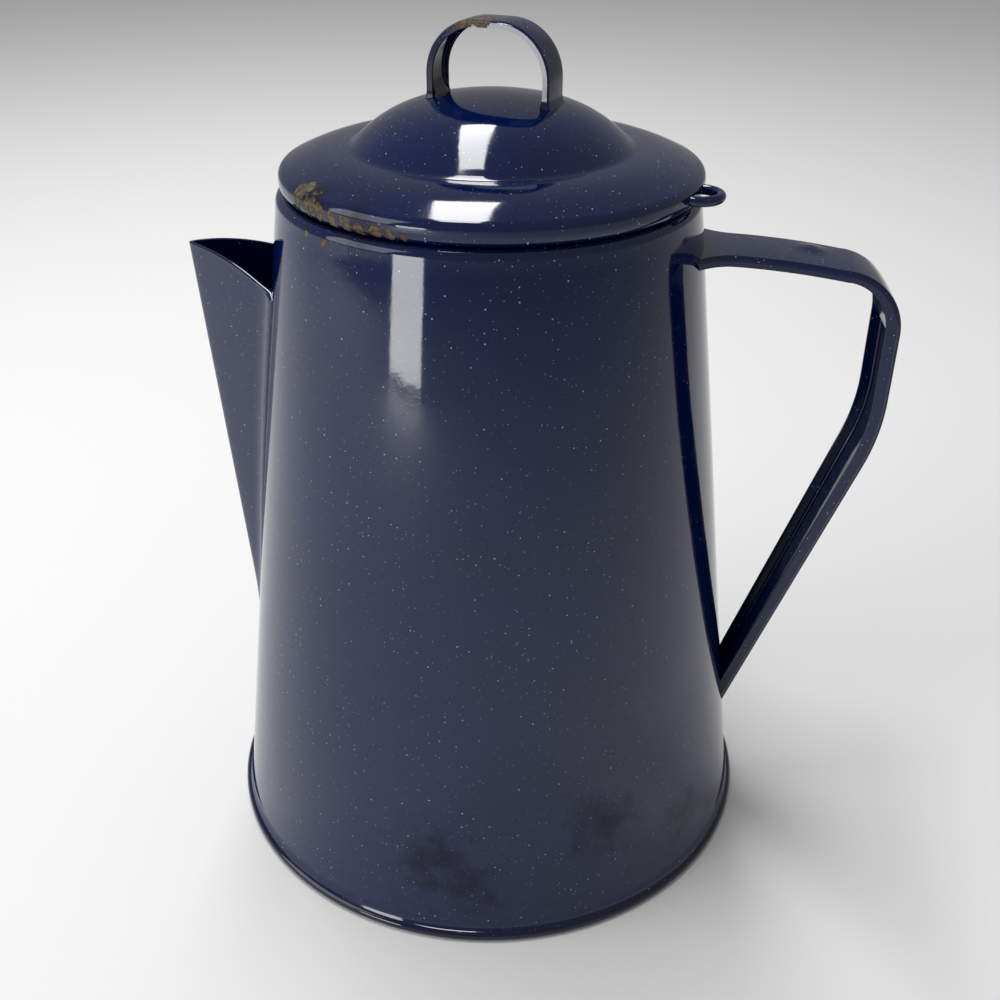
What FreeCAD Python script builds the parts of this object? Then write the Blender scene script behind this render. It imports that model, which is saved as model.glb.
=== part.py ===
import FreeCAD, Part
import math
import os
import re
import Sketcher

# A speckled-enamel camp percolator, standing on its base.
# Frame: origin on the pot's axis in the plane it rests on, +Z up, handle towards +X, spout towards -X.
# Millimetres throughout.  The pot wall is a cone; r(z) = wall_foot - wall_lean * z is its outer radius.

SIZES = {
    # pot
    "wall_foot": 78.50,  # outer radius that the wall's slope reaches at z = 0
    "wall_lean": 0.12662,  # radius lost per millimetre of height
    "sheet": 1.00,  # enamelled steel sheet
    "pan_r": 80.00,  # outside of the crimped seam round the base
    "pan_floor": 2.00,  # underside of the recessed floor
    "seam_top": 3.20,
    "seam_width": 3.60,
    "seam_round": 1.00,
    "seam_lean": 1.20,  # the seam's inner side leans in by this much up to the floor
    "wall_flare": 6.00,  # below here the wall spreads over the seam
    "mouth_r": 51.80,  # inside of the rolled mouth
    "mouth_top": 190.90,
    "mouth_roll": 2.40,  # radius of the roll
    "strainer_hole": 1.60,
    "strainer_low": 92.00,
    "strainer_pitch": 9.00,
    # spout
    "spout_toe": 47.00,
    "spout_head": 180.00,
    "spout_toe_reach": 72.65,
    "spout_head_reach": 82.20,
    "spout_ridge": 1.10,  # half width of the folded ridge
    "spout_flare": 0.637,  # half width gained per millimetre behind the ridge
    "spout_root": 46.00,  # the panels are laid out to here, inside the wall
    "spout_fold": 1.10,  # the ridge's inside lies this many sheets behind its outside
    "spout_lip_x": 82.20,  # the lip is an arc seen from the side
    "spout_lip_z": 124.00,
    "spout_lip_r": 48.90,
    "spout_flange": 3.50,
    # handle
    "strap_root_x": 46.00,  # the strap's outline is laid out from here, inside the wall
    "strap_wide": 21.00,
    "strap_narrow": 16.00,
    "strap_taper_top": 150.00,
    "strap_foot": 28.00,
    "strap_top": 177.70,
    "strap_arch_r": 227.00,  # crown of the top run
    "strap_arch_x": 54.00,
    "strap_droop": 10.00,  # degrees that the top run has turned by where the bend starts
    "bend_x": 90.50,
    "bend_z": 157.60,
    "bend_r": 17.00,
    "knee_z": 138.60,
    "knee_r": 60.00,
    "knee_turn": 19.25,  # degrees
    "strap_depth": 4.60,
    "strap_root_depth": 3.30,
    "hem_bend_r": 14.00,
    "saddle_half": 15.50,
    "saddle_end": 64.00,
    "saddle_root": 50.00,
    "liner_gap": 1.10,  # between the strap's web and the liner
    "liner_sheet": 0.90,
    "liner_end": 157.60,
    "liner_rise": 0.60,  # the liner's flat root stands this much above the bend's tangent
    # lid
    "lid_shift": 0.70,  # the lid sits this far off centre, towards the handle
    "lid_turn": -18.00,  # and is turned by this much, degrees
    "lid_top": 213.70,
    "crown_r": 80.00,
    "crown_edge": 18.00,
    "shoulder_r": 34.50,
    "shoulder_edge": 34.00,
    "shoulder_drop": 10.64,
    "flank_edge": 34.90,
    "flank_drop": 11.50,
    "valley_r": 3.20,  # hollow between the flank and the brim
    "valley_edge": 36.90,
    "valley_drop": 12.40,
    "brim_r": 38.00,
    "brim_edge": 52.60,
    "brim_drop": 16.40,
    "brim_round": 2.50,
    "collar_drop": 15.30,  # of the brim where the collar meets it
    "lid_r": 54.15,
    "hem_round": 3.20,
    "hem_high": 195.00,
    "lid_hem_z": 194.00,
    "lid_seat": 191.20,
    "lid_seat_r": 52.60,
    "collar_r": 49.60,
    "collar_low": 179.50,
    "collar_high": 195.20,
    "loop_half": 16.50,
    "loop_shift": 0.50,
    "loop_bend": 13.50,
    "loop_top": 231.20,
    "loop_sheet": 2.30,
    "loop_wide": 10.00,
    "loop_root": 209.00,
    "eye_wire": 1.45,
    "eye_half": 5.60,
    "eye_z": 194.15,
    "eye_x": 53.90,
    "eye_root": 50.00,
    # pump
    "tube_r": 4.00,
    "tube_bore": 3.30,
    "tube_low": 9.00,
    "tube_top": 184.00,
    "foot_r": 26.00,
    "foot_low": 3.30,
    "foot_high": 19.00,
    "foot_sheet": 0.90,
    "foot_skirt": 2.30,
    "foot_waist": 7.70,
    "foot_waist_r": 9.00,
    "foot_neck": 11.00,
    "foot_bend": 5.00,
    "foot_notch": 2.60,
    "foot_notches": 6,
    "stop_r": 6.40,
    "stop_low": 113.80,
    "stop_high": 116.80,
    "stop_round": 0.80,
    # basket
    "basket_low": 117.10,
    "basket_top": 168.00,
    "basket_r": 44.00,
    "basket_foot_r": 40.50,
    "basket_sheet": 0.80,
    "basket_bead": 1.10,
    "basket_corner": 3.00,
    "basket_hole": 1.00,
    "inner_ring": 13.00,
    "middle_ring": 22.00,
    "outer_ring": 31.00,
    "inner_holes": 8,
    "middle_holes": 14,
    "outer_holes": 20,
    "sleeve_bore": 4.50,
    "sleeve_r": 5.40,
    "sleeve_top": 175.00,
    "plate_low": 168.30,
    "plate_r": 44.60,
    "plate_rim": 3.00,
    "plate_bore": 6.90,
    "plate_neck": 4.50,
}

STRAINER_ROWS = (1, 2, 3, 2, 3, 2, 3)  # holes in each row behind the spout, from the bottom up

doc = FreeCAD.newDocument("percolator")
table = doc.addObject("Spreadsheet::Sheet", "Sizes")


def fill_table():
    for row, (name, value) in enumerate(SIZES.items(), start=1):
        table.set("A%d" % row, name)
        table.set("B%d" % row, "%g" % value)
        table.setAlias("B%d" % row, name)
    doc.recompute()


def sized(text):
    """The same expression with every size read from the spreadsheet."""

    def from_table(match):
        word = match.group()
        return "Sizes." + word if word in SIZES else word

    return re.sub(r"[a-z][a-z_]*", from_table, text)


def value_of(text):
    return float(table.evalExpression(sized(text)))


def bind(target, prop, text):
    target.setExpression(prop, sized(text))


# ---------------------------------------------------------------- sketches

FRONT = FreeCAD.Rotation(FreeCAD.Vector(1, 0, 0), 90)  # a sketch standing in X and Z
SIDE = FreeCAD.Rotation(FreeCAD.Vector(1, 1, 1), 120)  # a sketch standing in Y and Z
PLAN = FreeCAD.Rotation()


def arc_between(start, end, radius, turn):
    """Arc from start to end, to the left (turn 1) or to the right (turn -1), less than half a circle."""
    chord = end - start
    middle = (start + end) * 0.5
    rise = math.sqrt(max(radius**2 - (chord.Length / 2) ** 2, 0))
    left = FreeCAD.Vector(-chord.y, chord.x, 0).normalize()
    centre = middle + left * rise * turn
    first, last = (start, end) if turn > 0 else (end, start)
    angles = [math.atan2(p.y - centre.y, p.x - centre.x) for p in (first, last)]
    if angles[1] < angles[0]:
        angles[1] += 2 * math.pi
    circle = Part.Circle(centre, FreeCAD.Vector(0, 0, 1), radius)
    return Part.ArcOfCircle(circle, angles[0], angles[1])


def fix_point(sketch, geometry, end, x, y):
    """Holds one end of a line or arc at x, y, both expressions."""
    for kind, axis, text in (("DistanceX", -2, x), ("DistanceY", -1, y)):
        if text == "0":
            sketch.addConstraint(Sketcher.Constraint("PointOnObject", geometry, end, axis))
            continue
        index = sketch.addConstraint(Sketcher.Constraint(kind, -1, 1, geometry, end, value_of(text)))
        bind(sketch, "Constraints[%d]" % index, text)


def outline(sketch, steps):
    """Closed outline.  A step is (x, y) for a straight edge to there, or (x, y, radius, turn) for an arc."""
    points = [FreeCAD.Vector(value_of(step[0]), value_of(step[1]), 0) for step in steps]
    ends = []
    for index, step in enumerate(steps):
        start, end = points[index - 1], points[index]
        if len(step) == 2:
            geometry = sketch.addGeometry(Part.LineSegment(start, end))
            ends.append((geometry, 1, 2))
            continue
        radius, turn = step[2:]
        geometry = sketch.addGeometry(arc_between(start, end, value_of(radius), turn))
        ends.append((geometry, 1, 2) if turn > 0 else (geometry, 2, 1))
    for index, step in enumerate(steps):
        geometry, _, last = ends[index]
        following, first, _ = ends[(index + 1) % len(steps)]
        sketch.addConstraint(Sketcher.Constraint("Coincident", geometry, last, following, first))
        fix_point(sketch, geometry, last, step[0], step[1])
        if len(step) == 4:
            radius = Sketcher.Constraint("Radius", geometry, value_of(step[2]))
            bind(sketch, "Constraints[%d]" % sketch.addConstraint(radius), step[2])


def circle_at(sketch, x, y, radius):
    centre = FreeCAD.Vector(value_of(x), value_of(y), 0)
    geometry = sketch.addGeometry(Part.Circle(centre, FreeCAD.Vector(0, 0, 1), value_of(radius)))
    fix_point(sketch, geometry, 3, x, y)
    index = sketch.addConstraint(Sketcher.Constraint("Radius", geometry, value_of(radius)))
    bind(sketch, "Constraints[%d]" % index, radius)


# ---------------------------------------------------------------- bodies


def new_body(name):
    body = doc.addObject("PartDesign::Body", name)
    body.Label = name
    return body


def body_sketch(body, role, name):
    plane = [item for item in body.Origin.OriginFeatures if item.Role == role][0]
    sketch = body.newObject("Sketcher::SketchObject", name)
    sketch.AttachmentSupport = [(plane, "")]
    sketch.MapMode = "FlatFace"
    return sketch


def turned(name, steps):
    """A body turned about the Z axis from a half section in radius and height."""
    body = new_body(name)
    sketch = body_sketch(body, "XZ_Plane", name + "_section")
    outline(sketch, steps)
    spin = body.newObject("PartDesign::Revolution", name + "_turning")
    spin.Profile = sketch
    spin.ReferenceAxis = (sketch, ["V_Axis"])
    spin.Angle = 360
    sketch.Visibility = False
    body.Tip = spin
    doc.recompute()
    return body


def pocket(body, sketch, upward):
    """Cuts the sketch's holes right through, on one side of its plane."""
    before = body.Shape.Volume
    cut = body.newObject("PartDesign::Pocket", sketch.Name + "_cut")
    cut.Profile = sketch
    cut.Type = "ThroughAll"
    cut.Reversed = upward
    body.Tip = cut
    doc.recompute()
    if body.Shape.Volume >= before:
        raise RuntimeError(cut.Name + " cuts nothing")
    return cut


def ring_of_holes(body, ring, count, hole):
    """A ring of upright holes round the axis."""
    sketch = body_sketch(body, "XY_Plane", "%s_%s" % (body.Name, ring))
    circle_at(sketch, ring, "0", hole)
    cut = pocket(body, sketch, True)
    pattern = body.newObject("PartDesign::PolarPattern", "%s_%s_pattern" % (body.Name, ring))
    pattern.Originals = [cut]
    pattern.Axis = (sketch, ["N_Axis"])
    pattern.Angle = 360
    bind(pattern, "Occurrences", count)
    body.Tip = pattern
    doc.recompute()


# ---------------------------------------------------------------- loose solids


def free_sketch(name, steps, rotation, place):
    sketch = doc.addObject("Sketcher::SketchObject", name)
    sketch.Placement = FreeCAD.Placement(FreeCAD.Vector(*[value_of(text) for text in place]), rotation)
    for axis, text in zip("xyz", place):
        bind(sketch, ".Placement.Base." + axis, text)
    outline(sketch, steps)
    return sketch


def extruded(name, sketch, length, both_ways=False):
    solid = doc.addObject("Part::Extrusion", name)
    solid.Base = sketch
    solid.DirMode = "Normal"
    solid.Solid = True
    solid.Symmetric = both_ways
    bind(solid, "LengthFwd", length)
    return solid


def lofted(name, sections):
    solid = doc.addObject("Part::Loft", name)
    solid.Sections = sections
    solid.Solid = True
    solid.Ruled = True
    return solid


def joined(name, kind, shapes):
    """kind is MultiFuse or MultiCommon."""
    result = doc.addObject("Part::" + kind, name)
    result.Shapes = shapes
    return result


def cut_away(name, base, tool):
    result = doc.addObject("Part::Cut", name)
    result.Base = base
    result.Tool = tool
    return result


def cylinder(name, radius, height, place, rotation=PLAN):
    solid = doc.addObject("Part::Cylinder", name)
    solid.Placement = FreeCAD.Placement(FreeCAD.Vector(0, 0, 0), rotation)
    bind(solid, "Radius", radius)
    bind(solid, "Height", height)
    for axis, text in zip("xyz", place):
        bind(solid, ".Placement.Base." + axis, text)
    return solid


def wall_cone(name, stand_off):
    """The solid inside the pot's outer face, or inside a face that stands off it."""
    cone = doc.addObject("Part::Cone", name)
    bind(cone, "Height", "mouth_top")
    bind(cone, "Radius1", "wall_foot + %s" % stand_off)
    bind(cone, "Radius2", "wall_foot - wall_lean * mouth_top + %s" % stand_off)
    return cone


# ---------------------------------------------------------------- the pot


def make_base_pan():
    """Recessed floor, with the crimped seam that the pot stands on."""
    return turned(
        "base_pan",
        [
            ("0", "pan_floor"),
            ("pan_r - seam_width - seam_lean", "pan_floor"),
            ("pan_r - seam_width", "0"),
            ("pan_r - seam_round", "0"),
            ("pan_r", "seam_round", "seam_round", 1),
            ("pan_r", "seam_top - seam_round"),
            ("pan_r - seam_round", "seam_top", "seam_round", 1),
            ("pan_r - seam_width - 0.5 * seam_lean", "seam_top"),
            ("pan_r - seam_width - seam_lean - 0.2", "pan_floor + sheet"),
            ("0", "pan_floor + sheet"),
        ],
    )


def wall_at(height):
    return "wall_foot - wall_lean * (%s)" % height


def make_body_shell():
    """The cone of the wall, spread at its foot over the seam, with strainer holes behind the spout."""
    roll_low = "mouth_top - mouth_roll"
    shell = turned(
        "body_shell",
        [
            ("pan_r - seam_round", "seam_top"),
            (wall_at("wall_flare"), "wall_flare"),
            (wall_at(roll_low), roll_low),
            (wall_at(roll_low) + " - sheet", roll_low),
            (wall_at("seam_top") + " - sheet", "seam_top"),
        ],
    )
    sketch = body_sketch(shell, "YZ_Plane", "strainer")
    for row, count in enumerate(STRAINER_ROWS):
        for place in range(count):
            across = "%g * strainer_pitch" % (place - (count - 1) / 2)
            across = "0" if across.startswith("0 ") else across
            circle_at(sketch, across, "strainer_low + %d * strainer_pitch" % row, "strainer_hole")
    pocket(shell, sketch, False)
    return shell


def make_mouth_bead():
    """Roll that closes the wall's edge at the mouth, and that the lid rests on."""
    roll_low = "mouth_top - mouth_roll"
    return turned(
        "mouth_bead",
        [
            (wall_at(roll_low), roll_low),
            (wall_at(roll_low) + " - mouth_roll", "mouth_top", "mouth_roll", 1),
            ("mouth_r", "mouth_top - 0.4"),
            ("mouth_r", roll_low + " + 0.4"),
            (wall_at(roll_low) + " - sheet", roll_low),
        ],
    )


def spout_section(name, height, reach, inset, side):
    """One level section of the spout's V: inset shrinks it by a sheet, side widens it for the flanges."""
    ridge = "-(%s - %s * spout_fold)" % (reach, inset)
    panel = "sqrt(1 + spout_flare^2)"
    ridge_half = "spout_ridge + %s - %s * (%s - spout_fold * spout_flare)" % (side, inset, panel)
    root_half = "%s + spout_flare * (%s - %s * spout_fold - spout_root)" % (ridge_half, reach, inset)
    steps = [
        (ridge, "-(%s)" % ridge_half),
        ("-spout_root", "-(%s)" % root_half),
        ("-spout_root", root_half),
        (ridge, ridge_half),
    ]
    return free_sketch(name, steps, PLAN, ("0", "0", height))


def spout_wedge(name, inset, side, toe_drop):
    toe = spout_section(name + "_toe", "spout_toe - " + toe_drop, "spout_toe_reach", inset, side)
    head = spout_section(name + "_head", "spout_head", "spout_head_reach", inset, side)
    return lofted(name, [toe, head])


def make_spout():
    """A folded V of sheet with a flange down each side, welded over the strainer holes."""
    outside = spout_wedge("spout_outside", "0 * sheet", "0 * sheet", "0 * sheet")
    inside = spout_wedge("spout_inside", "sheet", "0 * sheet", "0 * sheet")
    reach = spout_wedge("flange_reach", "0 * sheet", "spout_flange", "spout_flange")
    flange = joined("spout_flanges", "MultiCommon", [wall_cone("flange_face", "0.8 * sheet"), reach])
    skin = joined("spout_skin", "MultiFuse", [outside, flange])
    folded = cut_away("spout_folded", skin, inside)
    fitted = cut_away("spout_fitted", folded, wall_cone("spout_wall", "0 * sheet"))
    below = doc.addObject("Part::Box", "below_lip")
    bind(below, "Length", "2 * spout_lip_r")
    bind(below, "Width", "2 * spout_lip_r")
    bind(below, "Height", "spout_lip_z - strap_foot")
    bind(below, ".Placement.Base.x", "-spout_lip_x - spout_lip_r")
    bind(below, ".Placement.Base.y", "-spout_lip_r")
    bind(below, ".Placement.Base.z", "strap_foot")
    place = ("-spout_lip_x", "spout_lip_r", "spout_lip_z")
    lip = cylinder("lip_arch", "spout_lip_r", "2 * spout_lip_r", place, FRONT)
    kept = joined("spout_kept", "MultiFuse", [below, lip])
    return joined("spout", "MultiCommon", [fitted, kept])


# The handle strap, seen from the side: a gently arched top run, a bend, a short upright run, a knee
# and a straight run back to the wall.  "inward" is how far a line lies inside the strap's outer face.


def strap_end_x(inward, height):
    knee = "(bend_x + bend_r - knee_r)"
    foot = "(%s + (knee_r - %s) * cos(knee_turn * 1deg))" % (knee, inward)
    drop = "(knee_z - (knee_r - %s) * sin(knee_turn * 1deg) - %s)" % (inward, height)
    return "%s - %s * tan(knee_turn * 1deg)" % (foot, drop)


def outer_run(inward):
    """From the top run's root to the strap's foot, along a line this far inside the outer face."""
    turn = "strap_droop * 1deg"
    bend = "(bend_r - %s)" % inward
    knee = "(knee_r - %s)" % inward
    return [
        ("strap_arch_x", "strap_top - %s" % inward),
        ("bend_x + %s * sin(%s)" % (bend, turn), "bend_z + %s * cos(%s)" % (bend, turn), "strap_arch_r", -1),
        ("bend_x + %s" % bend, "bend_z", bend, -1),
        ("bend_x + %s" % bend, "knee_z"),
        (
            "bend_x + bend_r - knee_r + %s * cos(knee_turn * 1deg)" % knee,
            "knee_z - %s * sin(knee_turn * 1deg)" % knee,
            knee,
            -1,
        ),
        (strap_end_x(inward, "strap_foot"), "strap_foot"),
    ]


def inner_run(depth, root_depth):
    """Back from the strap's foot to the root of the top run, along its open side."""
    turn = "strap_droop * 1deg"
    knee = "(knee_r - %s)" % depth
    hem = "bend_x + bend_r - %s" % depth
    return [
        (strap_end_x(depth, "strap_foot"), "strap_foot"),
        (
            "bend_x + bend_r - knee_r + %s * cos(knee_turn * 1deg)" % knee,
            "knee_z - %s * sin(knee_turn * 1deg)" % knee,
        ),
        (hem, "knee_z", knee, 1),
        (hem, "bend_z"),
        (
            "%s - hem_bend_r + hem_bend_r * sin(%s)" % (hem, turn),
            "bend_z + hem_bend_r * cos(%s)" % turn,
            "hem_bend_r",
            1,
        ),
        ("strap_arch_x", "strap_top - %s" % root_depth),
    ]


def taper(name, trim):
    """Front view of the strap: full width at the top, narrowing to its foot."""
    wide = "(strap_wide / 2 - %s)" % trim
    narrow = "(strap_narrow / 2 - %s)" % trim
    high = "strap_top + strap_depth"
    low = "strap_foot - strap_depth"
    steps = [
        (wide, high),
        ("-" + wide, high),
        ("-" + wide, "strap_taper_top"),
        ("-" + narrow, low),
        (narrow, low),
        (wide, "strap_taper_top"),
    ]
    sketch = free_sketch(name + "_view", steps, SIDE, ("strap_root_x", "0", "0"))
    return extruded(name, sketch, "bend_x + bend_r")


def make_handle_strap():
    """Channel of folded sheet, open towards the pot, flared into a saddle at the top of the wall."""
    centre = ("0", "0", "0")
    band_steps = outer_run("0") + inner_run("strap_depth", "strap_root_depth")
    band_view = free_sketch("strap_view", band_steps, FRONT, centre)
    band = extruded("strap_band", band_view, "2 * saddle_half", True)
    saddle_steps = [
        ("saddle_root", "-saddle_half"),
        ("strap_arch_x", "-saddle_half"),
        ("saddle_end", "-strap_wide / 2", "hem_bend_r", -1),
        ("saddle_end", "strap_wide / 2"),
        ("strap_arch_x", "saddle_half", "hem_bend_r", -1),
        ("saddle_root", "saddle_half"),
    ]
    saddle_view = free_sketch("saddle_view", saddle_steps, PLAN, ("0", "0", "bend_z"))
    saddle = extruded("saddle", saddle_view, "2 * hem_bend_r")
    widths = joined("strap_widths", "MultiFuse", [taper("strap_taper", "0 * sheet"), saddle])
    blank = joined("strap_blank", "MultiCommon", [band, widths])
    gutter_steps = outer_run("sheet") + inner_run("(2 * strap_depth)", "strap_depth")
    gutter_view = free_sketch("gutter_view", gutter_steps, FRONT, centre)
    gutter = extruded("strap_gutter", gutter_view, "strap_wide", True)
    channel = joined("strap_channel", "MultiCommon", [gutter, taper("channel_taper", "sheet")])
    folded = cut_away("strap_folded", blank, channel)
    return cut_away("handle_strap", folded, wall_cone("strap_wall", "0 * sheet"))


def make_handle_liner():
    """Strip that closes the channel under the top run and round the bend."""
    turn = "strap_droop * 1deg"
    outer = "(bend_r - sheet - liner_gap)"
    inner = "(bend_r - sheet - liner_gap - liner_sheet)"
    root = "strap_top - sheet - liner_gap + liner_rise"
    steps = [
        ("strap_arch_x", root),
        ("bend_x + %s * sin(%s)" % (outer, turn), "bend_z + %s * cos(%s)" % (outer, turn)),
        ("bend_x + " + outer, "liner_end", outer, -1),
        ("bend_x + " + inner, "liner_end"),
        ("bend_x + %s * sin(%s)" % (inner, turn), "bend_z + %s * cos(%s)" % (inner, turn), inner, 1),
        ("strap_arch_x", root + " - liner_sheet"),
    ]
    view = free_sketch("liner_view", steps, FRONT, ("0", "0", "0"))
    strip = extruded("liner_strip", view, "strap_wide - 2 * sheet", True)
    return cut_away("handle_liner", strip, wall_cone("liner_wall", "0 * sheet"))


# ---------------------------------------------------------------- the lid


CROWN_DROP = "(crown_r - sqrt(crown_r^2 - crown_edge^2))"  # the crown is part of a sphere


def make_lid_cover(name):
    """Low crown, sloping flank, rounded brim and a closed hem that rests on the mouth."""
    inside = "lid_top - sheet"
    return turned(
        name,
        [
            ("0", inside),
            ("crown_edge", inside + " - " + CROWN_DROP, "crown_r", -1),
            ("shoulder_edge - 0.4", inside + " - shoulder_drop", "shoulder_r", -1),
            ("flank_edge - 0.4", inside + " - flank_drop"),
            ("valley_edge - 0.2", inside + " - valley_drop", "valley_r + sheet", 1),
            ("collar_r", inside + " - collar_drop", "brim_r - sheet", -1),
            ("collar_r", "lid_seat"),
            ("lid_seat_r", "lid_seat"),
            ("lid_r", "lid_hem_z", "hem_round", 1),
            ("lid_r", "hem_high"),
            ("brim_edge", "lid_top - brim_drop", "brim_round", 1),
            ("valley_edge", "lid_top - valley_drop", "brim_r", 1),
            ("flank_edge", "lid_top - flank_drop", "valley_r", -1),
            ("shoulder_edge", "lid_top - shoulder_drop"),
            ("crown_edge", "lid_top - " + CROWN_DROP, "shoulder_r", 1),
            ("0", "lid_top", "crown_r", 1),
        ],
    )


def make_lid_collar():
    """Skirt under the lid that drops into the mouth."""
    return turned(
        "lid_collar",
        [
            ("collar_r - sheet", "collar_low"),
            ("collar_r - 0.4", "collar_low"),
            ("collar_r", "collar_low + 0.6"),
            ("collar_r", "collar_high"),
            ("collar_r - sheet", "collar_high"),
        ],
    )


def make_lid_loop():
    """Bent strap that lifts the lid, standing on the crown."""
    inner = "(loop_bend - loop_sheet)"
    inner_half = "(loop_half - loop_sheet)"
    bend_z = "(loop_top - loop_bend)"
    flat = "(loop_half - loop_bend)"
    steps = [
        ("loop_half", "loop_root"),
        ("loop_half", bend_z),
        (flat, "loop_top", "loop_bend", 1),
        ("-" + flat, "loop_top"),
        ("-loop_half", bend_z, "loop_bend", 1),
        ("-loop_half", "loop_root"),
        ("-" + inner_half, "loop_root"),
        ("-" + inner_half, bend_z),
        ("-" + flat, "loop_top - loop_sheet", inner, -1),
        (flat, "loop_top - loop_sheet"),
        (inner_half, bend_z, inner, -1),
        (inner_half, "loop_root"),
    ]
    view = free_sketch("loop_view", steps, FRONT, ("loop_shift", "0", "0"))
    strap = extruded("loop_strap", view, "loop_wide", True)
    crown = doc.addObject("Part::Sphere", "crown_ball")
    bind(crown, "Radius", "crown_r")
    bind(crown, ".Placement.Base.z", "lid_top - crown_r")
    return cut_away("lid_loop", strap, crown)


def make_lid_eyelet(cover):
    """D of wire welded to the hem on the handle side."""
    bow = doc.addObject("Part::Torus", "eyelet_bow")
    bind(bow, "Radius1", "eye_half")
    bind(bow, "Radius2", "eye_wire")
    bow.Angle3 = 180
    bow.Placement.Rotation = FreeCAD.Rotation(FreeCAD.Vector(0, 0, 1), -90)
    bind(bow, ".Placement.Base.x", "eye_x")
    bind(bow, ".Placement.Base.z", "eye_z")
    along_x = FreeCAD.Rotation(FreeCAD.Vector(0, 1, 0), 90)
    legs = []
    for side, sign in (("left", ""), ("right", "-")):
        place = ("eye_root", sign + "eye_half", "eye_z")
        legs.append(cylinder("eyelet_leg_" + side, "eye_wire", "eye_x - eye_root", place, along_x))
    wire = joined("eyelet_wire", "MultiFuse", [bow] + legs)
    return cut_away("lid_eyelet", wire, cover)


def seat_lid(pieces):
    """Turns the lid's pieces together and moves them by the slack in the mouth."""
    for piece in pieces:
        piece.Placement = FreeCAD.Placement(
            FreeCAD.Vector(value_of("lid_shift"), 0, 0),
            FreeCAD.Rotation(FreeCAD.Vector(0, 0, 1), value_of("lid_turn")),
        )
        bind(piece, ".Placement.Base.x", "lid_shift")
        bind(piece, ".Placement.Rotation.Angle", "-lid_turn")
        piece.setExpression(".Placement.Rotation.Axis.z", "-1")


# ---------------------------------------------------------------- the pump and the basket


def make_pump_tube():
    """Aluminium riser that the boiling water climbs."""
    return turned(
        "pump_tube",
        [
            ("tube_bore", "tube_low"),
            ("tube_r", "tube_low"),
            ("tube_r", "tube_top"),
            ("tube_bore", "tube_top"),
        ],
    )


def make_pump_foot():
    """Bell that stands on the floor over the heat, with notches that let water in."""
    foot = turned(
        "pump_foot",
        [
            ("foot_r - foot_sheet", "foot_low"),
            ("foot_r", "foot_low"),
            ("foot_r", "foot_low + foot_skirt"),
            ("foot_waist_r", "foot_low + foot_waist"),
            ("tube_r + foot_sheet", "foot_low + foot_neck", "foot_bend", -1),
            ("tube_r + foot_sheet", "foot_high"),
            ("tube_r", "foot_high"),
            ("tube_r", "foot_low + foot_neck - 2"),
            ("foot_waist_r - 0.6", "foot_low + foot_waist - 0.8"),
            ("foot_r - foot_sheet", "foot_low + foot_skirt - 0.7"),
        ],
    )
    sketch = body_sketch(foot, "YZ_Plane", "foot_notch")
    circle_at(sketch, "0", "foot_low - 0.4", "foot_notch")
    cut = pocket(foot, sketch, True)
    pattern = foot.newObject("PartDesign::PolarPattern", "foot_notch_pattern")
    pattern.Originals = [cut]
    pattern.Axis = (sketch, ["V_Axis"])
    pattern.Angle = 360
    bind(pattern, "Occurrences", "foot_notches")
    foot.Tip = pattern
    doc.recompute()
    return foot


def make_stem_stop():
    """Ring crimped on the riser, on which the basket rests."""
    return turned(
        "stem_stop",
        [
            ("tube_r", "stop_low"),
            ("stop_r - stop_round", "stop_low"),
            ("stop_r", "stop_low + stop_round", "stop_round", 1),
            ("stop_r", "stop_high - stop_round"),
            ("stop_r - stop_round", "stop_high", "stop_round", 1),
            ("tube_r", "stop_high"),
        ],
    )


def perforate(body):
    for ring in ("inner", "middle", "outer"):
        ring_of_holes(body, ring + "_ring", ring + "_holes", "basket_hole")


def make_basket_cup():
    """Pressed cup for the grounds, perforated in its floor."""
    foot_edge = "basket_foot_r - basket_corner"
    cup = turned(
        "basket_cup",
        [
            ("sleeve_r", "basket_low"),
            (foot_edge, "basket_low"),
            ("basket_foot_r", "basket_low + basket_corner", "basket_corner", 1),
            ("basket_r - basket_bead", "basket_top - 2 * basket_bead"),
            ("basket_r", "basket_top - basket_bead", "basket_bead", 1),
            ("basket_r - basket_bead", "basket_top", "basket_bead", 1),
            ("basket_r - basket_bead - basket_sheet", "basket_top - basket_sheet", "basket_sheet", 1),
            ("basket_foot_r - basket_sheet", "basket_low + basket_corner"),
            (foot_edge, "basket_low + basket_sheet", "basket_corner - basket_sheet", -1),
            ("sleeve_r", "basket_low + basket_sheet"),
        ],
    )
    perforate(cup)
    return cup


def make_basket_sleeve():
    """Tube up the middle of the basket that slides over the riser."""
    return turned(
        "basket_sleeve",
        [
            ("sleeve_bore", "basket_low"),
            ("sleeve_r", "basket_low"),
            ("sleeve_r", "sleeve_top"),
            ("sleeve_bore", "sleeve_top"),
        ],
    )


def make_basket_cover():
    """Spreader plate that lies on the basket's rim and rains the water over the grounds."""
    plate = turned(
        "basket_cover",
        [
            ("plate_bore", "plate_low"),
            ("plate_r", "plate_low"),
            ("plate_r", "plate_low + plate_rim"),
            ("plate_r - basket_sheet", "plate_low + plate_rim"),
            ("plate_r - basket_sheet", "plate_low + basket_sheet"),
            ("plate_bore + basket_sheet", "plate_low + basket_sheet"),
            ("plate_bore + basket_sheet", "plate_low + plate_neck"),
            ("plate_bore", "plate_low + plate_neck"),
        ],
    )
    perforate(plate)
    return plate


# ---------------------------------------------------------------- build, test, write


def check_document():
    bad = [item.Name for item in doc.Objects if "Invalid" in item.State or "Error" in item.State]
    if bad:
        raise RuntimeError("failed objects: %s" % bad)


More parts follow.
